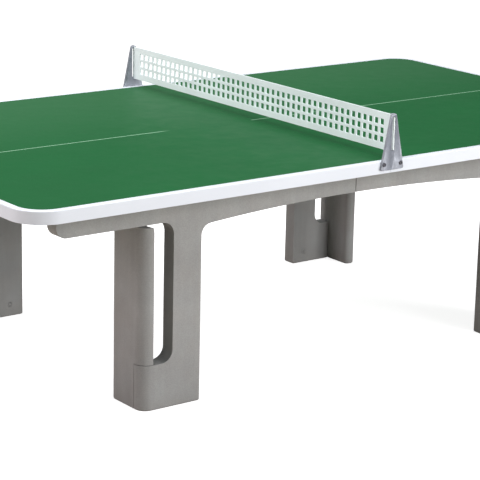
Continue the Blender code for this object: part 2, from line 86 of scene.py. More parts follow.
class TopSizes(bpy.types.PropertyGroup):
    corner_radius: length("Corner radius", "Radius of the top's four corners", 0.110)
    line_width: length("Line width", "Width of the white band on the playing surface", 0.024)
    wall: length("Band wall", "Thickness of the edge band", 0.003)
    gap: length("Fitting gap", "Gap between pieces that touch", 0.0003)
    edge_rounding: length("Edge rounding", "Rounding along the band's upper edge", 0.0025)
    lower_rounding: length("Lower rounding", "Rounding along the band's lower edge", 0.0008)
    centre_line: length("Centre line width", "Width of the thin line along the table", 0.0050)
    worn_from: length("Worn from", "Distance from the net at which the left line is still whole", 0.40)
    worn_to: length("Worn to", "Distance from the net at which the left line has worn away", 0.35)
    # Painted sheen: where the paler green painted towards the back starts and where it is full.
    sheen_from: length("Haze from", "Distance in front of the middle at which the haze starts", 0.25)
    sheen_to: length("Haze to", "Distance behind the middle at which the haze is full", 0.80)
    corner_steps: IntProperty(name="Corner steps", description="Steps round each corner", default=28, min=4)


class UnderframeSizes(bpy.types.PropertyGroup):
    post_inner: length("Post inner side", "Distance from the middle to the post's inner side", 0.635)
    post_outer: length("Post outer side", "Distance from the middle to the post's outer side", 0.742)
    foot_height: length("Foot height", "Height of the foot block beside the post", 0.1535)
    apron_bottom: length("Apron bottom", "Height of the apron's lower edge outside the posts", 0.618)
    arch_bottom: length("Arch spring", "Height of the arch where it meets the post", 0.594)
    arch_rise: length("Arch rise", "How far the arch rises to the middle", 0.024)
    post_fillet: length("Post fillet", "Radius between the post and the arch", 0.038)
    slot_radius: length("Slot radius", "Radius at the ends of the upright slot", 0.042)
    apron_end_radius: length("Apron end radius", "Radius of the apron's lower outer corner", 0.036)
    foot_lap: length("Foot lap", "Thickness of the foot block beside the end frame's leg", 0.045)
    casting_gap: length("Casting gap", "Open joint round the end frame's leg at the foot block", 0.0018)
    corner_radius: length("Outer corner radius", "Radius of the outer upright corner", 0.040)
    leg_width: length("End leg width", "Width of an end frame's leg", 0.121)
    beam_depth: length("Beam depth", "Depth of the end frame's cross beam", 0.110)
    beam_fillet: length("Beam fillet", "Radius between an end leg and its beam", 0.040)
    leg_rounding: length("Leg rounding", "Rounding along the end frame's opening", 0.018)
    tongue_gap: length("Tongue gap", "Gap between the tongue's top and the apron", 0.011)
    tongue_rounding: length("Tongue rounding", "Rounding of the tongue's upper corner", 0.018)
    foot_rounding: length("Foot rounding", "Rounding along the edges on the floor", 0.007)
    arris: length("Arris", "Softening along every cast edge", 0.0024)


class NetSizes(bpy.types.PropertyGroup):
    pitch: length("Hole pitch", "Distance between the holes' middles", 0.0295)
    hole: length("Hole size", "Width of a square hole", 0.020)
    hole_corner: length("Hole corner", "Rounding in a hole's corners", 0.0018)
    columns: IntProperty(name="Columns", description="Holes along the net", default=49, min=1)
    rows: IntProperty(name="Rows", description="Holes up the net", default=3, min=1)
    shoulder: length("Tab shoulder", "How much lower the end tabs are than the net", 0.007)
    bracket_top: length("Bracket top width", "Width of a bracket at its top", 0.020)
    bracket_slot: length("Bracket slot width", "Width of the slot that holds the net", 0.012)
    bracket_corner: length("Bracket corner", "Radius of a bracket's lower corners", 0.008)
    bracket_tip: length("Bracket tip", "Radius of a bracket's upper corners", 0.009)
    bracket_arris: length("Bracket arris", "Softening along a bracket's edges", 0.0010)


class TableColours(bpy.types.PropertyGroup):
    green: colour("Green", "Coating of the playing surface", (0.0095, 0.107, 0.031))
    # Painted sheen: a paler green painted towards the back for the sheen reflected at grazing view.
    painted_sheen: colour("Haze", "The coating where it has dulled towards the back", (0.030, 0.134, 0.052))
    line: colour("Line", "The thin centre line", (0.30, 0.52, 0.36))
    white: colour("White", "The edge band", (0.78, 0.82, 0.90))
    concrete: colour("Concrete", "The cast underframe", (0.362, 0.366, 0.370))
    net: colour("Net", "Coating of the net", (0.85, 0.93, 0.95))
    bracket: colour("Bracket", "Coating of the net's brackets", (0.27, 0.285, 0.33))
    steel: colour("Steel", "Zinc plated fixings", (0.52, 0.53, 0.55))
    # Painted shade: the screws' dark colour stands for the shade in and round their sockets.
    screw: colour("Screws", "Weathered screws of the brackets", (0.10, 0.10, 0.12))


class PingPongTable(bpy.types.PropertyGroup):
    top: PointerProperty(type=TopSizes)
    under: PointerProperty(type=UnderframeSizes)
    net: PointerProperty(type=NetSizes)
    colours: PointerProperty(type=TableColours)


# Modelling by hand: blocks, selections and cuts.

def leave_editing():
    """Goes back to object mode with nothing selected."""
    if bpy.context.mode != "OBJECT":
        bpy.ops.object.mode_set(mode="OBJECT")
    bpy.ops.object.select_all(action="DESELECT")


def choose(piece):
    """Makes one piece the only one selected, and active."""
    leave_editing()
    piece.select_set(True)
    bpy.context.view_layer.objects.active = piece


def settle(name):
    """Names the new piece and moves its place into its mesh."""
    piece = bpy.context.active_object
    piece.name = name
    bpy.ops.object.transform_apply(location=True, rotation=True, scale=True)
    return piece


def add_block(name, low, high):
    """Adds a block that fills a box."""
    leave_editing()
    low = Vector(low)
    high = Vector(high)
    bpy.ops.mesh.primitive_cube_add(size=1.0, location=(low + high) / 2, scale=high - low)
    return settle(name)


def edit(piece):
    """Opens a piece in edit mode."""
    choose(piece)
    bpy.ops.object.mode_set(mode="EDIT")


def pick(piece, kind, test):
    """In edit mode, selects just the elements whose corners pass a test."""
    bpy.ops.mesh.select_mode(type=kind)
    bpy.ops.mesh.select_all(action="DESELECT")
    shape = bmesh.from_edit_mesh(piece.data)
    elements = {"VERT": shape.verts, "EDGE": shape.edges, "FACE": shape.faces}[kind]
    found = 0
    for element in elements:
        corners = [element.co] if kind == "VERT" else [vert.co for vert in element.verts]
        if test(corners):
            element.select_set(True)
            found += 1
    shape.select_flush_mode()
    bmesh.update_edit_mesh(piece.data)
    if not found:
        raise RuntimeError("nothing to select on " + piece.name)


def where(**limits):
    """A test for corners that all lie at a value, or between two, along the named axes."""
    def test(corners):
        for axis, limit in limits.items():
            low, high = limit if isinstance(limit, tuple) else (limit, limit)
            place = "xyz".index(axis)
            if any(corner[place] < low - CLOSE or corner[place] > high + CLOSE for corner in corners):
                return False
        return True
    return test


def upright(corners):
    """A test for edges that stand straight up."""
    first, second = corners
    return abs(first.x - second.x) < CLOSE and abs(first.y - second.y) < CLOSE


def many_sided(corners):
    """A test for the large faces inside a rounded outline."""
    return len(corners) > 8


def slice_at(axis, value, keep=0):
    """Cuts across the whole piece. keep is 1 or -1 to keep the side above or below, with the cut filled."""
    place = Vector((0, 0, 0))
    normal = Vector((0, 0, 0))
    place["xyz".index(axis)] = value
    normal["xyz".index(axis)] = 1
    bpy.ops.mesh.select_all(action="SELECT")
    bpy.ops.mesh.bisect(plane_co=place, plane_no=normal, use_fill=keep != 0, clear_inner=keep > 0,
                        clear_outer=keep < 0)


def extrude(x=0.0, y=0.0, z=0.0):
    bpy.ops.mesh.extrude_region_move(TRANSFORM_OT_translate={"value": (x, y, z)})


def round_edges(piece, test, radius, steps):
    pick(piece, "EDGE", test)
    bpy.ops.mesh.bevel(offset=radius, segments=steps, affect="EDGES")


def merge_flats(angle=0.2):
    """Dissolves the cuts that lie in flat faces."""
    bpy.ops.mesh.select_all(action="SELECT")
    bpy.ops.mesh.dissolve_limited(angle_limit=math.radians(angle))


def face_outwards():
    bpy.ops.mesh.select_all(action="SELECT")
    bpy.ops.mesh.normals_make_consistent(inside=False)


def soften(piece, width, steps=2, angle=35):
    """Rounds every sharp edge a little with an applied Bevel."""
    choose(piece)
    bpy.ops.object.shade_smooth()
    bpy.ops.object.modifier_add(type="BEVEL")
    bevel = piece.modifiers[-1]
    bevel.width = width
    bevel.segments = steps
    bevel.limit_method = "ANGLE"
    bevel.angle_limit = math.radians(angle)
    bpy.ops.object.modifier_apply(modifier=bevel.name)


def copy_piece(master, name, mirror=(1, 1, 1)):
    """Copies a piece with its own mesh, mirrored where a factor is negative."""
    choose(master)
    bpy.ops.object.duplicate(linked=False)
    piece = bpy.context.active_object
    piece.name = name
    piece.scale = mirror
    bpy.ops.object.transform_apply(location=True, rotation=True, scale=True)
    bpy.ops.object.mode_set(mode="EDIT")
    face_outwards()
    leave_editing()
    return piece


def discard(piece):
    choose(piece)
    bpy.ops.object.delete()


def finish_piece(piece, node, material):
    """Evens the shading, gives the finish and ties the piece to the frame."""
    choose(piece)
    bpy.ops.object.shade_smooth()
    bpy.ops.object.modifier_add(type="WEIGHTED_NORMAL")
    evened = piece.modifiers[-1]
    evened.keep_sharp = True
    bpy.ops.object.modifier_apply(modifier=evened.name)
    piece.name = "finished_" + node
    piece.data.materials.clear()
    piece.data.materials.append(material)
    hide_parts(node)
    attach(piece, BODY)


# Node groups for the effects that several finishes share.

def add_node(tree, kind, **values):
    """Adds a node, sets its options and plain inputs by name."""
    node = tree.nodes.new(kind)
    for key, value in values.items():
        setattr(node, key, value)
    return node


def feed(tree, node, **sources):
    """Links or sets a node's inputs. A name's underscores stand for spaces, and n0 is the first input."""
    for key, source in sources.items():
        by_number = key[0] == "n" and key[1:].isdigit()
        socket = node.inputs[int(key[1:]) if by_number else key.replace("_", " ")]
        if isinstance(source, bpy.types.NodeSocket):
            tree.links.new(source, socket)
        else:
            socket.default_value = source
    return node


def start_group(name, inputs, outputs):
    """Opens a node group with named inputs and outputs."""
    group = bpy.data.node_groups.new(name, "ShaderNodeTree")
    for label, kind, default in inputs:
        socket = group.interface.new_socket(label, in_out="INPUT", socket_type=kind)
        if default is not None:
            socket.default_value = default
    for label, kind in outputs:
        group.interface.new_socket(label, in_out="OUTPUT", socket_type=kind)
    entry = group.nodes.new("NodeGroupInput")
    leaving = group.nodes.new("NodeGroupOutput")
    return group, entry, leaving


def shade_group():
    """Uneven shade: a noise of a chosen scale, spread between two values."""
    group, entry, leaving = start_group(
        "uneven_shade",
        [("Position", "NodeSocketVector", None), ("Scale", "NodeSocketFloat", 5.0),
         ("Detail", "NodeSocketFloat", 3.0), ("Low", "NodeSocketFloat", 0.9), ("High", "NodeSocketFloat", 1.1)],
        [("Value", "NodeSocketFloat")])
    noise = add_node(group, "ShaderNodeTexNoise")
    feed(group, noise, Vector=entry.outputs["Position"], Scale=entry.outputs["Scale"],
         Detail=entry.outputs["Detail"], Roughness=0.6)
    spread = add_node(group, "ShaderNodeMapRange")
    feed(group, spread, Value=noise.outputs["Fac"], From_Min=0.30, From_Max=0.70,
         To_Min=entry.outputs["Low"], To_Max=entry.outputs["High"])
    group.links.new(spread.outputs["Result"], leaving.inputs["Value"])
    return group


def pits_group():
    """Scattered round spots: a mask that is 1 in the middle of some cells."""
    group, entry, leaving = start_group(
        "scattered_pits",
        [("Position", "NodeSocketVector", None), ("Scale", "NodeSocketFloat", 60.0),
         ("Size", "NodeSocketFloat", 0.18), ("Share", "NodeSocketFloat", 0.3)],
        [("Mask", "NodeSocketFloat")])
    cells = add_node(group, "ShaderNodeTexVoronoi")
    feed(group, cells, Vector=entry.outputs["Position"], Scale=entry.outputs["Scale"], Randomness=1.0)
    spot = add_node(group, "ShaderNodeMapRange", interpolation_type="SMOOTHSTEP")
    feed(group, spot, Value=cells.outputs["Distance"], From_Min=0.0, From_Max=entry.outputs["Size"],
         To_Min=1.0, To_Max=0.0)
    parts = add_node(group, "ShaderNodeSeparateColor")
    feed(group, parts, Color=cells.outputs["Color"])
    chosen = add_node(group, "ShaderNodeMath", operation="LESS_THAN")
    feed(group, chosen, n0=parts.outputs["Red"], n1=entry.outputs["Share"])
    both = add_node(group, "ShaderNodeMath", operation="MULTIPLY")
    feed(group, both, n0=spot.outputs["Result"], n1=chosen.outputs["Value"])
    group.links.new(both.outputs["Value"], leaving.inputs["Mask"])
    return group


def near_floor_group():
    """Darker near the floor: a mask that fades out with height, broken up by noise."""
    group, entry, leaving = start_group(
        "darker_near_floor",
        [("Position", "NodeSocketVector", None), ("Height", "NodeSocketFloat", 0.10),
         ("Strength", "NodeSocketFloat", 0.3)],
        [("Mask", "NodeSocketFloat")])
    parts = add_node(group, "ShaderNodeSeparateXYZ")
    feed(group, parts, Vector=entry.outputs["Position"])
    noise = add_node(group, "ShaderNodeTexNoise")
    feed(group, noise, Vector=entry.outputs["Position"], Scale=22.0, Detail=4.0)
    raised = add_node(group, "ShaderNodeMath", operation="MULTIPLY_ADD")
    feed(group, raised, n0=noise.outputs["Fac"], n1=0.10, n2=parts.outputs["Z"])
    fade = add_node(group, "ShaderNodeMapRange", interpolation_type="SMOOTHSTEP")
    feed(group, fade, Value=raised.outputs["Value"], From_Min=0.04, From_Max=entry.outputs["Height"],
         To_Min=entry.outputs["Strength"], To_Max=0.0)
    group.links.new(fade.outputs["Result"], leaving.inputs["Mask"])
    return group


def shared_group(name, maker):
    """The node group of that name, made the first time it is asked for."""
    found = bpy.data.node_groups.get(name)
    return found if found else maker()


def place_group(tree, name, maker, **inputs):
    node = tree.nodes.new("ShaderNodeGroup")
    node.node_tree = shared_group(name, maker)
    return feed(tree, node, **inputs)


def uneven(tree, position, scale, low, high, detail=3.0):
    node = place_group(tree, "uneven_shade", shade_group, Position=position, Scale=scale, Detail=detail,
                       Low=low, High=high)
    return node.outputs["Value"]


def pits(tree, position, scale, size, share):
    node = place_group(tree, "scattered_pits", pits_group, Position=position, Scale=scale, Size=size, Share=share)
    return node.outputs["Mask"]


def start_material(name, color, metallic=0.0):
    """A material with its Principled shader, and the object's own coordinates."""
    material = bpy.data.materials.new(name)
    material.use_nodes = True
    material.diffuse_color = (*color, 1.0)
    tree = material.node_tree
    shader = tree.nodes["Principled BSDF"]
    shader.inputs["Metallic"].default_value = metallic
    place = tree.nodes.new("ShaderNodeTexCoord").outputs["Object"]
    return material, tree, shader, place


def times(tree, first, second):
    node = feed(tree, add_node(tree, "ShaderNodeMath", operation="MULTIPLY"), n0=first, n1=second)
    return node.outputs["Value"]


def tint(tree, color, shade):
    """A colour times a varying shade."""
    node = add_node(tree, "ShaderNodeVectorMath", operation="SCALE")
    feed(tree, node, n0=color if isinstance(color, bpy.types.NodeSocket) else tuple(color), Scale=shade)
    return node.outputs["Vector"]


def blend_color(tree, mask, base, other):
    """Goes from one colour to another by a mask."""
    node = add_node(tree, "ShaderNodeMix", data_type="RGBA")
    tree.links.new(mask, node.inputs[0])
    for place, source in ((6, base), (7, other)):
        if isinstance(source, bpy.types.NodeSocket):
            tree.links.new(source, node.inputs[place])
        else:
            node.inputs[place].default_value = (*source, 1.0)
    return node.outputs[2]


def bump(tree, shader, layers):
    """Stacks bumps on a shader. A layer is a height, a strength and a depth in metres."""
    normal = None
    for height, strength, depth in layers:
        node = add_node(tree, "ShaderNodeBump")
        feed(tree, node, Height=height, Strength=strength, Distance=depth)
        if normal:
            tree.links.new(normal, node.inputs["Normal"])
        normal = node.outputs["Normal"]
    tree.links.new(normal, shader.inputs["Normal"])


def stretched(tree, position, factors):
    """Coordinates squeezed by a factor along each axis."""
    node = add_node(tree, "ShaderNodeVectorMath", operation="MULTIPLY")
    feed(tree, node, n0=position, n1=factors)
    return node.outputs["Vector"]


# Finishes.

def line_mask(tree, position, sizes):
    """The thin line along the middle of the table, which thins out towards the net on the left half."""
    parts = feed(tree, add_node(tree, "ShaderNodeSeparateXYZ"), Vector=position)
    across = feed(tree, add_node(tree, "ShaderNodeMath", operation="ABSOLUTE"), n0=parts.outputs["Y"])
    narrow = add_node(tree, "ShaderNodeMapRange")
    feed(tree, narrow, Value=across.outputs["Value"], From_Min=sizes.centre_line * 0.40,
         From_Max=sizes.centre_line * 0.60, To_Min=1.0, To_Max=0.0)
    worn = add_node(tree, "ShaderNodeMapRange")
    feed(tree, worn, Value=parts.outputs["X"], From_Min=-sizes.worn_from, From_Max=-sizes.worn_to,
         To_Min=1.0, To_Max=0.0)
    right = feed(tree, add_node(tree, "ShaderNodeMath", operation="GREATER_THAN"), n0=parts.outputs["X"], n1=0.0)
    shown = feed(tree, add_node(tree, "ShaderNodeMath", operation="MAXIMUM"),
                 n0=worn.outputs["Result"], n1=right.outputs["Value"])
    return times(tree, narrow.outputs["Result"], shown.outputs["Value"])


def make_green_coating(colours, sizes):
    """Satin green coating with orange peel, a painted sheen (paler green) towards the back and a thin pale centre
    line.
    """
    material, tree, shader, place = start_material("green_coating", colours.green)
    clouds = uneven(tree, place, 2.2, 0.95, 1.05)
    speckle = uneven(tree, place, 900.0, 0.93, 1.07, 1.0)
    field = tint(tree, colours.green, times(tree, clouds, speckle))
    flecks = pits(tree, place, 420.0, 0.16, 0.10)
    pale = tint(tree, colours.green, 1.5)
    field = blend_color(tree, flecks, field, pale)
    parts = feed(tree, add_node(tree, "ShaderNodeSeparateXYZ"), Vector=place)
    # Painted sheen: the green pales towards the back, painted in for the sheen reflected at grazing view.
    painted_sheen = add_node(tree, "ShaderNodeMapRange", interpolation_type="SMOOTHSTEP")
    feed(tree, painted_sheen, Value=parts.outputs["Y"], From_Min=-sizes.sheen_from, From_Max=sizes.sheen_to,
         To_Min=0.0, To_Max=1.0)
    field = blend_color(tree, painted_sheen.outputs["Result"], field, tint(tree, colours.painted_sheen, speckle))
    mask = line_mask(tree, place, sizes)
    feed(tree, shader, Base_Color=blend_color(tree, mask, field, tuple(colours.line)))
    feed(tree, shader, Roughness=uneven(tree, place, 14.0, 0.42, 0.50), Specular_IOR_Level=0.08)
    peel = uneven(tree, place, 650.0, 0.0, 1.0, 2.0)
    sag = uneven(tree, place, 30.0, 0.0, 1.0, 1.0)
    bump(tree, shader, [(peel, 0.25, 0.00012), (sag, 0.10, 0.0006)])
    return material


def make_white_band(colours):
    """Smooth white coating with slight shade changes and a few faint scuffs."""
    material, tree, shader, place = start_material("white_band", colours.white)
    clouds = uneven(tree, place, 3.0, 0.975, 1.02)
    grain = uneven(tree, place, 700.0, 0.985, 1.01, 1.0)
    base = tint(tree, colours.white, times(tree, clouds, grain))
    scuffs = pits(tree, stretched(tree, place, (0.25, 0.25, 1.0)), 160.0, 0.12, 0.05)
    feed(tree, shader, Base_Color=blend_color(tree, scuffs, base, (0.62, 0.62, 0.64)))
    feed(tree, shader, Roughness=uneven(tree, place, 25.0, 0.34, 0.46), Specular_IOR_Level=0.4)
    bump(tree, shader, [(uneven(tree, place, 520.0, 0.0, 1.0, 2.0), 0.20, 0.00012)])
    return material


def make_concrete(colours):
    """Fine cast concrete: cloudy shades, sand grains, dark specks, air holes painted dark for the shade inside them,
    and faint upright streaks.
    """
    material, tree, shader, place = start_material("cast_concrete", colours.concrete)
    clouds = uneven(tree, place, 5.0, 0.90, 1.08, 4.0)
    streaks = uneven(tree, stretched(tree, place, (1.0, 1.0, 0.08)), 34.0, 0.95, 1.05)
    sand = uneven(tree, place, 480.0, 0.88, 1.12, 2.0)
    base = tint(tree, colours.concrete, times(tree, times(tree, clouds, streaks), sand))
    warm = uneven(tree, place, 9.0, 0.0, 0.35, 3.0)
    base = blend_color(tree, warm, base, tint(tree, (0.350, 0.325, 0.310), times(tree, clouds, sand)))
    specks = pits(tree, place, 230.0, 0.22, 0.16)
    base = blend_color(tree, times(tree, specks, 0.55), base, (0.15, 0.145, 0.14))
    pale_grains = pits(tree, place, 310.0, 0.20, 0.12)
    base = blend_color(tree, times(tree, pale_grains, 0.45), base, (0.55, 0.54, 0.52))
    # Painted shade: the air holes are painted nearly black for the shade inside them.
    holes = pits(tree, place, 62.0, 0.085, 0.22)
    base = blend_color(tree, times(tree, holes, 0.8), base, (0.11, 0.105, 0.10))
    # Darker towards the bottom: a darker brown that fades out with height.
    near_floor = place_group(tree, "darker_near_floor", near_floor_group, Position=place, Height=0.13, Strength=0.22)
    base = blend_color(tree, near_floor.outputs["Mask"], base, (0.24, 0.22, 0.195))
    feed(tree, shader, Base_Color=base, Roughness=uneven(tree, place, 40.0, 0.78, 0.92), Specular_IOR_Level=0.3)
    inverse = feed(tree, add_node(tree, "ShaderNodeMath", operation="SUBTRACT"), n0=1.0, n1=holes)
    bump(tree, shader, [(uneven(tree, place, 16.0, 0.0, 1.0, 3.0), 0.15, 0.0015),
                        (uneven(tree, place, 380.0, 0.0, 1.0, 3.0), 0.35, 0.0005),
                        (inverse.outputs["Value"], 0.6, 0.0010)])
    return material


def make_net_coating(colours):
    """Light grey powder coat on the net."""
    material, tree, shader, place = start_material("net_coating", colours.net)
    shade = times(tree, uneven(tree, place, 6.0, 0.96, 1.03), uneven(tree, place, 800.0, 0.97, 1.03, 1.0))
    feed(tree, shader, Base_Color=tint(tree, colours.net, shade), Specular_IOR_Level=0.45,
         Roughness=uneven(tree, place, 30.0, 0.38, 0.50))
    bump(tree, shader, [(uneven(tree, place, 900.0, 0.0, 1.0, 2.0), 0.25, 0.00010)])
    return material


def make_bracket_coating(colours):
    """Blue-grey cast metal of the net's brackets: a matte skin with a slight mottle and small pits."""
    material, tree, shader, place = start_material("bracket_casting", colours.bracket, 0.25)
    mottle = times(tree, uneven(tree, place, 60.0, 0.86, 1.14, 4.0), uneven(tree, place, 620.0, 0.93, 1.07, 2.0))
    base = tint(tree, colours.bracket, mottle)
    dents = pits(tree, place, 320.0, 0.18, 0.10)
    feed(tree, shader, Base_Color=blend_color(tree, times(tree, dents, 0.5), base, (0.16, 0.17, 0.20)),
         Roughness=uneven(tree, place, 80.0, 0.40, 0.58))
    bump(tree, shader, [(uneven(tree, place, 420.0, 0.0, 1.0, 3.0), 0.30, 0.00025)])
    return material


def make_zinc(colours):
    """Zinc plated steel with its crystal patches."""
    material, tree, shader, place = start_material("zinc_plating", colours.steel, 0.85)
    crystals = add_node(tree, "ShaderNodeTexVoronoi")
    feed(tree, crystals, Vector=place, Scale=150.0)
    parts = feed(tree, add_node(tree, "ShaderNodeSeparateColor"), Color=crystals.outputs["Color"])
    patch = add_node(tree, "ShaderNodeMapRange")
    feed(tree, patch, Value=parts.outputs["Green"], To_Min=0.86, To_Max=1.10)
    shade = times(tree, patch.outputs["Result"], uneven(tree, place, 40.0, 0.92, 1.06))
    feed(tree, shader, Base_Color=tint(tree, colours.steel, shade),
         Roughness=uneven(tree, place, 90.0, 0.28, 0.46))
    bump(tree, shader, [(uneven(tree, place, 700.0, 0.0, 1.0, 2.0), 0.15, 0.00010)])
    return material


def make_dark_screw_steel(colours):
    """Dark steel of the brackets' screws, painted dark for the shade in and round their sockets."""
    material, tree, shader, place = start_material("screw_painted_dark", colours.screw, 0.6)
    stains = times(tree, uneven(tree, place, 260.0, 0.75, 1.25, 4.0), uneven(tree, place, 1400.0, 0.9, 1.1, 1.0))
    feed(tree, shader, Base_Color=tint(tree, colours.screw, stains), Roughness=uneven(tree, place, 180.0, 0.45, 0.65))
    bump(tree, shader, [(uneven(tree, place, 900.0, 0.0, 1.0, 2.0), 0.25, 0.00012)])
    return material


def finish_named(name, maker, *values):
    """The finish of that name, made the first time it is asked for."""
    found = bpy.data.materials.get(name)
    return found if found else maker(*values)


# Pieces.

def make_whole_slab(sizes):
    """The slab before it is cut in two: a rounded block with a raised playing field."""
    wall = sizes.wall + sizes.gap
    ledge = SLAB_HIGH.z - wall
    reach = Vector((SLAB_HIGH.x, SLAB_HIGH.y, 0))
    slab = add_block("slab", (-reach.x, -reach.y, SLAB_LOW.z), (reach.x, reach.y, ledge))
    edit(slab)
    round_edges(slab, upright, sizes.corner_radius - wall, sizes.corner_steps)
    pick(slab, "FACE", where(z=ledge))
    bpy.ops.mesh.inset(thickness=sizes.line_width - sizes.wall)
    extrude(z=SLAB_HIGH.z - ledge)
    leave_editing()
    return slab


def make_whole_band(sizes):
    """The edge band before it is cut in two: a rim with a flange that shows as the white line."""
    low, high = BAND_LOW, BAND_HIGH
    band = add_block("band", (-high.x, -high.y, low.z), high)
    edit(band)
    round_edges(band, upright, sizes.corner_radius, sizes.corner_steps)
    round_edges(band, where(z=high.z), sizes.edge_rounding, 4)
    round_edges(band, where(z=low.z), sizes.lower_rounding, 2)
    pick(band, "FACE", where(z=low.z))
    bpy.ops.mesh.inset(thickness=sizes.wall - sizes.lower_rounding)
    extrude(z=high.z - sizes.wall - low.z)
    bpy.ops.mesh.inset(thickness=sizes.line_width - sizes.wall)
    pick(band, "FACE", where(z=high.z))
    bpy.ops.mesh.inset(thickness=sizes.line_width - sizes.edge_rounding)
    pick(band, "FACE", many_sided)
    bpy.ops.mesh.bridge_edge_loops()
    leave_editing()
    return band


def cut_half(whole, node, side, edge):
    """Keeps one half of a whole top piece, with its cut face closed."""
    half = copy_piece(whole, node + "_half")
    edit(half)
    slice_at("x", side * edge, keep=side)
    leave_editing()
    return half


class PINGPONG_OT_add_top(bpy.types.Operator):
    """Models the two slab halves and the edge band round them"""

    bl_idname = "pingpong.add_top"
    bl_label = "Add Top"

    def execute(self, context):
        table = context.scene.ping_pong_table
        green = finish_named("green_coating", make_green_coating, table.colours, table.top)
        white = finish_named("white_band", make_white_band, table.colours)
        slab = make_whole_slab(table.top)
        band = make_whole_band(table.top)
        for name, side in SIDES.items():
            half = cut_half(slab, "top_slab_" + name, side, SLAB_LOW.x)
            finish_piece(half, "top_slab_" + name, green)
            half = cut_half(band, "edge_band_" + name, side, BAND_LOW.x)
            finish_piece(half, "edge_band_" + name, white)
        discard(slab)
        discard(band)
        return {"FINISHED"}


def arch_lift(sizes, x):
    """How far the arch has risen at a distance from the middle."""
    start = sizes.post_inner - sizes.post_fillet
    return sizes.arch_rise * (1 - (x / start) ** 2)


def shape_arch(panel, sizes, steps=20):
    """Lifts the apron's lower edge into a shallow arch."""
    start = sizes.post_inner - sizes.post_fillet
    seam = PANEL_LOW.x
    places = [seam + (start - seam) * step / steps for step in range(steps)]
    for x in places[1:]:
        slice_at("x", x)
    for x in places:
        pick(panel, "VERT", where(x=x, z=sizes.arch_bottom))
        bpy.ops.transform.translate(value=(0, 0, arch_lift(sizes, x)))


def make_side_panel(sizes):
    """One casting of apron, post and foot block, at the back right."""
    low, high = PANEL_LOW, PANEL_HIGH
    panel = add_block("panel", (sizes.post_inner, low.y, low.z), (sizes.post_outer, high.y, high.z))
    edit(panel)
    for height in (sizes.foot_height, sizes.arch_bottom, sizes.apron_bottom):
        slice_at("z", height)
    lap_start = END_LOW.x - sizes.casting_gap
    pick(panel, "FACE", where(x=sizes.post_outer, z=(low.z, sizes.foot_height)))
    extrude(x=lap_start - sizes.post_outer)
    slice_at("y", high.y - sizes.foot_lap)
    pick(panel, "FACE", where(x=lap_start, y=(high.y - sizes.foot_lap, high.y)))
    extrude(x=END_HIGH.x - lap_start)
    pick(panel, "FACE", where(x=sizes.post_outer, z=(sizes.apron_bottom, high.z)))
    extrude(x=high.x - sizes.post_outer)
    pick(panel, "FACE", where(x=sizes.post_inner, z=(sizes.arch_bottom, high.z)))
    extrude(x=low.x - sizes.post_inner)
    merge_flats()
    round_edges(panel, where(x=sizes.post_outer, z=sizes.apron_bottom), sizes.slot_radius, 16)
    round_edges(panel, where(x=sizes.post_outer, z=sizes.foot_height), sizes.slot_radius, 16)
    round_edges(panel, where(x=high.x, z=sizes.apron_bottom), sizes.apron_end_radius, 20)
    round_edges(panel, where(x=sizes.post_inner, z=sizes.arch_bottom), sizes.post_fillet, 14)
    round_edges(panel, where(x=END_HIGH.x, y=high.y), sizes.corner_radius, 18)
    shape_arch(panel, sizes)
    round_edges(panel, where(z=low.z), sizes.foot_rounding, 4)
    leave_editing()
    soften(panel, sizes.arris)
    return panel


class PINGPONG_OT_add_side_panels(bpy.types.Operator):
    """Models the four concrete side panels with their aprons, posts and feet"""

    bl_idname = "pingpong.add_side_panels"
    bl_label = "Add Side Panels"

    def execute(self, context):
        table = context.scene.ping_pong_table
        concrete = finish_named("cast_concrete", make_concrete, table.colours)
        master = make_side_panel(table.under)
        for end, side in SIDES.items():
            for face, across in FACES.items():
                node = "side_panel_%s_%s" % (face, end)
                finish_piece(copy_piece(master, node, (side, across, 1)), node, concrete)
        discard(master)
        return {"FINISHED"}


def make_end_frame(sizes, gap):
    """Two legs and a cross beam in one casting, with a tongue at each side, at the right end."""
    low, high = END_LOW, END_HIGH
    inner = PANEL_LOW.y - gap
    lap = PANEL_HIGH.y - sizes.foot_lap - sizes.casting_gap
    free = inner - sizes.leg_width
    beam = high.z - sizes.beam_depth
    tongue_low = sizes.foot_height + sizes.casting_gap
    tongue_top = sizes.apron_bottom - sizes.tongue_gap
    body = add_block("end_frame", (low.x, -inner, beam), (high.x, inner, high.z))
    edit(body)
    for y in (-free, free):
        slice_at("y", y)
    for legs in ((-inner, -free), (free, inner)):
        pick(body, "FACE", where(y=legs, z=beam))
        extrude(z=low.z - beam)
    for height in (tongue_low, tongue_top):
        slice_at("z", height)
    for across in (-1, 1):
        pick(body, "FACE", where(y=across * inner, z=(low.z, tongue_top)))
        extrude(y=across * (lap - inner))
        pick(body, "FACE", where(y=across * lap, z=(tongue_low, tongue_top)))
        extrude(y=across * (high.y - lap))
    merge_flats()
    for across in (-1, 1):
        round_edges(body, where(y=across * free, z=beam), sizes.beam_fillet, 12)
        round_edges(body, where(x=high.x, y=across * high.y), sizes.corner_radius, 18)
        reach = tuple(sorted((across * inner, across * high.y)))
        round_edges(body, where(x=low.x, y=reach, z=tongue_top), sizes.tongue_rounding, 8)
    for x in (low.x, high.x):
        round_edges(body, opening_edge(x, free, beam, low.z), sizes.leg_rounding, 8)
    round_edges(body, where(z=low.z), sizes.foot_rounding, 4)
    leave_editing()
    soften(body, sizes.arris)
    return body


def opening_edge(x, free, beam, floor):
    """A test for the edges round the opening between the legs, on one face."""
    on_face = where(x=x, y=(-free, free), z=(floor, beam))

    def test(corners):
        return on_face(corners) and any(corner.z > floor + CLOSE for corner in corners)
    return test


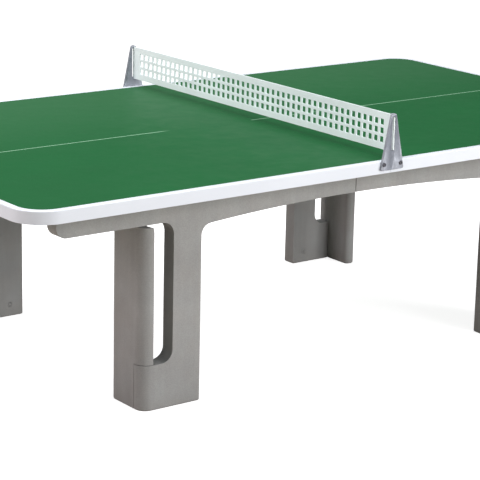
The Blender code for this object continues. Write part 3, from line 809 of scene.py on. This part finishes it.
class PINGPONG_OT_add_end_frames(bpy.types.Operator):
    """Models the two concrete end frames"""

    bl_idname = "pingpong.add_end_frames"
    bl_label = "Add End Frames"

    def execute(self, context):
        table = context.scene.ping_pong_table
        concrete = finish_named("cast_concrete", make_concrete, table.colours)
        master = make_end_frame(table.under, table.top.gap)
        for end, side in SIDES.items():
            node = "end_frame_" + end
            finish_piece(copy_piece(master, node, (side, 1, 1)), node, concrete)
        discard(master)
        return {"FINISHED"}


def make_net_plate(sizes):
    """A plate with rows of square holes, and a lower tab at each end."""
    middle_z = (NET_LOW.z + NET_HIGH.z) / 2
    half_width = sizes.columns * sizes.pitch / 2
    half_height = sizes.rows * sizes.pitch / 2
    body_end = BAND_HIGH.y - 0.0003
    leave_editing()
    bpy.ops.mesh.primitive_grid_add(x_subdivisions=sizes.columns, y_subdivisions=sizes.rows, size=1.0,
                                    location=(NET_LOW.x, 0, middle_z),
                                    rotation=(math.pi / 2, 0, math.pi / 2))
    bpy.context.active_object.scale = (2 * half_width, 2 * half_height, 1)
    net = settle("net")
    edit(net)
    bpy.ops.mesh.select_all(action="SELECT")
    bpy.ops.mesh.inset(thickness=(sizes.pitch - sizes.hole) / 2, use_individual=True)
    bpy.ops.mesh.bevel(offset=sizes.hole_corner, segments=2, affect="VERTICES")
    pick(net, "FACE", many_sided)
    bpy.ops.mesh.delete(type="FACE")
    for end in (-1, 1):
        pick(net, "EDGE", where(z=middle_z + end * half_height))
        extrude(z=end * ((NET_HIGH.z - NET_LOW.z) / 2 - half_height))
    for end in (-1, 1):
        pick(net, "EDGE", where(y=end * half_width))
        extrude(y=end * (body_end - half_width))
    tab = (NET_LOW.z + sizes.shoulder, NET_HIGH.z - sizes.shoulder)
    for height in tab:
        slice_at("z", height)
    for end in (-1, 1):
        pick(net, "EDGE", where(y=end * body_end, z=tab))
        extrude(y=end * (NET_HIGH.y - body_end))
    merge_flats()
    bpy.ops.mesh.select_all(action="SELECT")
    extrude(x=NET_HIGH.x - NET_LOW.x)
    face_outwards()
    leave_editing()
    soften(net, 0.0004, 1, 50)
    return net


def make_bracket(sizes):
    """A tapered plate with a slot for the net's tab, at the back."""
    low, high = BRACKET_LOW, BRACKET_HIGH
    bracket = add_block("bracket", low, high)
    edit(bracket)
    pick(bracket, "FACE", where(z=high.z))
    taper = sizes.bracket_top / (high.x - low.x)
    bpy.ops.transform.resize(value=(taper, 1, 1), center_override=(0, (low.y + high.y) / 2, high.z))
    half = sizes.bracket_slot / 2
    slot = (NET_LOW.z + sizes.shoulder - 0.0003, NET_HIGH.z - sizes.shoulder + 0.0003)
    for x in (-half, half):
        slice_at("x", x)
    for height in slot:
        slice_at("z", height)
    pick(bracket, "FACE", where(x=(-half, half), z=slot))
    bpy.ops.mesh.bridge_edge_loops()
    merge_flats()
    for side in (-1, 1):
        round_edges(bracket, where(x=side * high.x, z=low.z), sizes.bracket_corner, 6)
        round_edges(bracket, where(x=side * sizes.bracket_top / 2, z=high.z), sizes.bracket_tip, 8)
    leave_editing()
    soften(bracket, sizes.bracket_arris, 3)
    return bracket


def make_screw():
    """A low round-headed screw with a round socket, through the back bracket on the right."""
    low, high = SCREW_LOW, SCREW_HIGH
    radius = (high.x - low.x) / 2
    head = 0.003
    center = (low + high) / 2
    leave_editing()
    bpy.ops.mesh.primitive_cylinder_add(vertices=24, radius=radius, depth=head,
                                        location=(center.x, high.y - head / 2, center.z),
                                        rotation=(math.pi / 2, 0, 0))
    screw = settle("screw")
    edit(screw)
    pick(screw, "FACE", where(y=high.y - head))
    bpy.ops.mesh.inset(thickness=radius - 0.003)
    extrude(y=low.y - (high.y - head))
    pick(screw, "FACE", where(y=high.y))
    bpy.ops.mesh.bevel(offset=0.0014, segments=4, affect="EDGES")
    pick(screw, "FACE", where(y=high.y))
    bpy.ops.mesh.inset(thickness=0.0016)
    extrude(y=-0.0018)
    leave_editing()
    soften(screw, 0.0002, 1, 50)
    return screw


class PINGPONG_OT_add_net(bpy.types.Operator):
    """Models the perforated net, its two brackets and their screws"""

    bl_idname = "pingpong.add_net"
    bl_label = "Add Net"

    def execute(self, context):
        table = context.scene.ping_pong_table
        coating = finish_named("net_coating", make_net_coating, table.colours)
        casting = finish_named("bracket_casting", make_bracket_coating, table.colours)
        # Painted shade: the screws' finish is painted dark for the shade in their sockets.
        dark_screw_finish = finish_named("screw_painted_dark", make_dark_screw_steel, table.colours)
        finish_piece(make_net_plate(table.net), "net_plate", coating)
        bracket = make_bracket(table.net)
        screw = make_screw()
        for face, across in FACES.items():
            node = "net_bracket_" + face
            finish_piece(copy_piece(bracket, node, (1, across, 1)), node, casting)
            for end, side in SIDES.items():
                node = "bracket_screw_%s_%s" % (face, end)
                finish_piece(copy_piece(screw, node, (side, across, 1)), node, dark_screw_finish)
        discard(bracket)
        discard(screw)
        return {"FINISHED"}


def make_bolt(total):
    """A hexagon bolt that stands at the origin: its head is lowest and its shank goes up."""
    radius = 0.0095
    head = 0.0065
    leave_editing()
    bpy.ops.mesh.primitive_cylinder_add(vertices=6, radius=radius, depth=head, location=(0, 0, head / 2))
    bolt = settle("bolt")
    edit(bolt)
    pick(bolt, "FACE", where(z=head))
    bpy.ops.mesh.inset(thickness=0.0036)
    extrude(z=total - head)
    pick(bolt, "FACE", where(z=0))
    bpy.ops.mesh.inset(thickness=0.0008)
    bpy.ops.mesh.bevel(offset=0.0005, segments=2, affect="EDGES")
    leave_editing()
    soften(bolt, 0.0004, 2, 40)
    return bolt


def stand_bolt(master, node):
    """Copies the bolt to its node, turned to point away from the table's middle."""
    low, high = node_box(node)
    size = high - low
    axis = max(range(3), key=lambda place: size[place])
    center = (low + high) / 2
    way = Vector((0, 0, 0))
    way[axis] = 1 if center[axis] > 0 else -1
    start = center - way * size[axis] / 2
    bolt = copy_piece(master, node)
    bolt.matrix_world = Matrix.Translation(start) @ way.to_track_quat("Z", "Y").to_matrix().to_4x4()
    choose(bolt)
    bpy.ops.object.transform_apply(location=True, rotation=True, scale=True)
    return bolt


def merged_copy(node):
    """A copy of a frame node with its loose triangles joined into clean faces."""
    piece = copy_piece(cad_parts[node], node + "_copy")
    edit(piece)
    bpy.ops.mesh.select_all(action="SELECT")
    bpy.ops.mesh.remove_doubles(threshold=0.00001)
    face_outwards()
    merge_flats(1.0)
    leave_editing()
    return piece


class PINGPONG_OT_add_fixings(bpy.types.Operator):
    """Models the plates, cleats, bolts and sleeves under the top"""

    bl_idname = "pingpong.add_fixings"
    bl_label = "Add Fixings"

    def execute(self, context):
        table = context.scene.ping_pong_table
        zinc = finish_named("zinc_plating", make_zinc, table.colours)
        low, high = node_box("top_bolt_slab_back_right")
        bolt = make_bolt(high.z - low.z)
        for node in sorted(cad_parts):
            if "_bolt_" in node:
                finish_piece(stand_bolt(bolt, node), node, zinc)
            elif node.startswith(("seam_plate", "corner_cleat", "top_cleat", "anchor_sleeve")):
                piece = merged_copy(node)
                soften(piece, 0.0006, 2)
                finish_piece(piece, node, zinc)
        discard(bolt)
        return {"FINISHED"}


# Stage.

def make_floor_finish(glow):
    """Pale floor that looks white itself and gives a weaker, warm bounce."""
    material = bpy.data.materials.new("pale_floor")
    material.use_nodes = True
    tree = material.node_tree
    shader = tree.nodes["Principled BSDF"]
    shader.inputs["Roughness"].default_value = 0.9
    shader.inputs["Specular IOR Level"].default_value = 0.0
    place = tree.nodes.new("ShaderNodeTexCoord").outputs["Object"]
    seen = tree.nodes.new("ShaderNodeLightPath").outputs["Is Camera Ray"]
    pale = tint(tree, (0.80, 0.80, 0.80), uneven(tree, place, 1.5, 0.995, 1.005))
    feed(tree, shader, Base_Color=blend_color(tree, seen, (0.45, 0.40, 0.33), pale))
    shader.inputs["Emission Color"].default_value = (1.0, 1.0, 1.0, 1.0)
    tree.links.new(times(tree, seen, glow), shader.inputs["Emission Strength"])
    return material


def add_softbox(name, location, aim, size, power, tone):
    leave_editing()
    bpy.ops.object.light_add(type="AREA", location=location)
    light = bpy.context.active_object
    light.name = name
    light.data.shape = "RECTANGLE"
    light.data.size = size[0]
    light.data.size_y = size[1]
    light.data.energy = power
    light.data.color = tone
    way = Vector(aim) - Vector(location)
    light.rotation_euler = way.to_track_quat("-Z", "Y").to_euler()


class StageSettings(bpy.types.PropertyGroup):
    lens: FloatProperty(name="Lens", description="Focal length in millimetres", default=147.14, min=1.0)
    place: FloatVectorProperty(name="Camera place", description="Where the camera stands",
                               default=(-4.1582, -5.4901, 2.1703), subtype="TRANSLATION")
    heading: FloatProperty(name="Heading", description="Turn from the view along +Y, clockwise from above",
                           default=math.radians(36.881), subtype="ANGLE")
    tilt: FloatProperty(name="Tilt", description="How far the camera looks down",
                        default=math.radians(15.081), subtype="ANGLE")
    roll: FloatProperty(name="Roll", description="Turn about the view's own axis",
                        default=math.radians(1.269), subtype="ANGLE")
    key_power: FloatProperty(name="Key light", description="Power of the front softbox", default=316.0)
    side_power: FloatProperty(name="Side light", description="Power of the left softbox", default=140.0)
    top_power: FloatProperty(name="Top light", description="Power of the overhead softbox", default=280.0)
    floor_glow: FloatProperty(name="Floor glow", description="Lift of the floor in direct view", default=0.85)
    sky: FloatProperty(name="Sky", description="Brightness of the even surround", default=0.22)


class PINGPONG_OT_add_stage(bpy.types.Operator):
    """Adds the floor, the lights and the camera"""

    bl_idname = "pingpong.add_stage"
    bl_label = "Add Stage"

    def execute(self, context):
        stage = context.scene.ping_pong_stage
        leave_editing()
        bpy.ops.mesh.primitive_plane_add(size=60.0, location=(0, 0, 0))
        floor = settle("floor")
        floor.data.materials.append(make_floor_finish(stage.floor_glow))
        add_softbox("front_softbox", (2.5, -5.9, 2.0), (0, 0, 0.6), (4.5, 2.6), stage.key_power, (1.0, 1.0, 1.0))
        add_softbox("left_softbox", (-5.6, 2.0, 2.4), (0, 0, 0.6), (3.0, 2.5), stage.side_power, (1.0, 0.90, 0.91))
        add_softbox("overhead_softbox", (-0.9, 0.3, 4.8), (0, 0, 0.6), (6.0, 4.5), stage.top_power, (1.0, 1.0, 1.0))
        world = bpy.data.worlds.new("studio")
        world.use_nodes = True
        surround = world.node_tree.nodes["Background"]
        surround.inputs["Color"].default_value = (0.96, 0.98, 1.0, 1.0)
        seen = world.node_tree.nodes.new("ShaderNodeLightPath").outputs["Is Camera Ray"]
        strength = add_node(world.node_tree, "ShaderNodeMath", operation="MAXIMUM")
        feed(world.node_tree, strength, n0=seen, n1=stage.sky)
        world.node_tree.links.new(strength.outputs["Value"], surround.inputs["Strength"])
        context.scene.world = world
        context.scene.view_settings.view_transform = "Standard"
        leave_editing()
        bpy.ops.object.camera_add(location=stage.place)
        camera = bpy.context.active_object
        camera.name = "camera"
        camera.data.lens = stage.lens
        camera.data.sensor_width = 36.0
        camera.data.clip_end = 100.0
        turn = Matrix.Rotation(-stage.heading, 4, "Z") @ Matrix.Rotation(math.pi / 2 - stage.tilt, 4, "X")
        camera.matrix_world = Matrix.Translation(stage.place) @ turn @ Matrix.Rotation(stage.roll, 4, "Z")
        context.scene.camera = camera
        return {"FINISHED"}


class PINGPONG_PT_panel(bpy.types.Panel):
    """Lists the table's sizes, colours and pieces"""

    bl_idname = "PINGPONG_PT_panel"
    bl_label = "Ping Pong Table"
    bl_space_type = "VIEW_3D"
    bl_region_type = "UI"
    bl_category = "Ping Pong Table"

    def draw(self, context):
        layout = self.layout
        table = context.scene.ping_pong_table
        for group in (table.top, table.under, table.net, table.colours, context.scene.ping_pong_stage):
            box = layout.box()
            for key in group.__annotations__:
                box.prop(group, key)
        for operator in OPERATORS:
            layout.operator(operator.bl_idname)


OPERATORS = (PINGPONG_OT_add_stage, PINGPONG_OT_add_top, PINGPONG_OT_add_side_panels,
             PINGPONG_OT_add_end_frames, PINGPONG_OT_add_net, PINGPONG_OT_add_fixings)
CLASSES = (TopSizes, UnderframeSizes, NetSizes, TableColours, PingPongTable, StageSettings,
           *OPERATORS, PINGPONG_PT_panel)


def register():
    for entry in CLASSES:
        bpy.utils.register_class(entry)
    bpy.types.Scene.ping_pong_table = PointerProperty(type=PingPongTable)
    bpy.types.Scene.ping_pong_stage = PointerProperty(type=StageSettings)


def unregister():
    del bpy.types.Scene.ping_pong_stage
    del bpy.types.Scene.ping_pong_table
    for entry in reversed(CLASSES):
        bpy.utils.unregister_class(entry)


def main():
    register()
    bpy.ops.pingpong.add_stage()
    bpy.ops.pingpong.add_top()
    bpy.ops.pingpong.add_side_panels()
    bpy.ops.pingpong.add_end_frames()
    bpy.ops.pingpong.add_net()
    bpy.ops.pingpong.add_fixings()


if __name__ == "__main__":
    main()
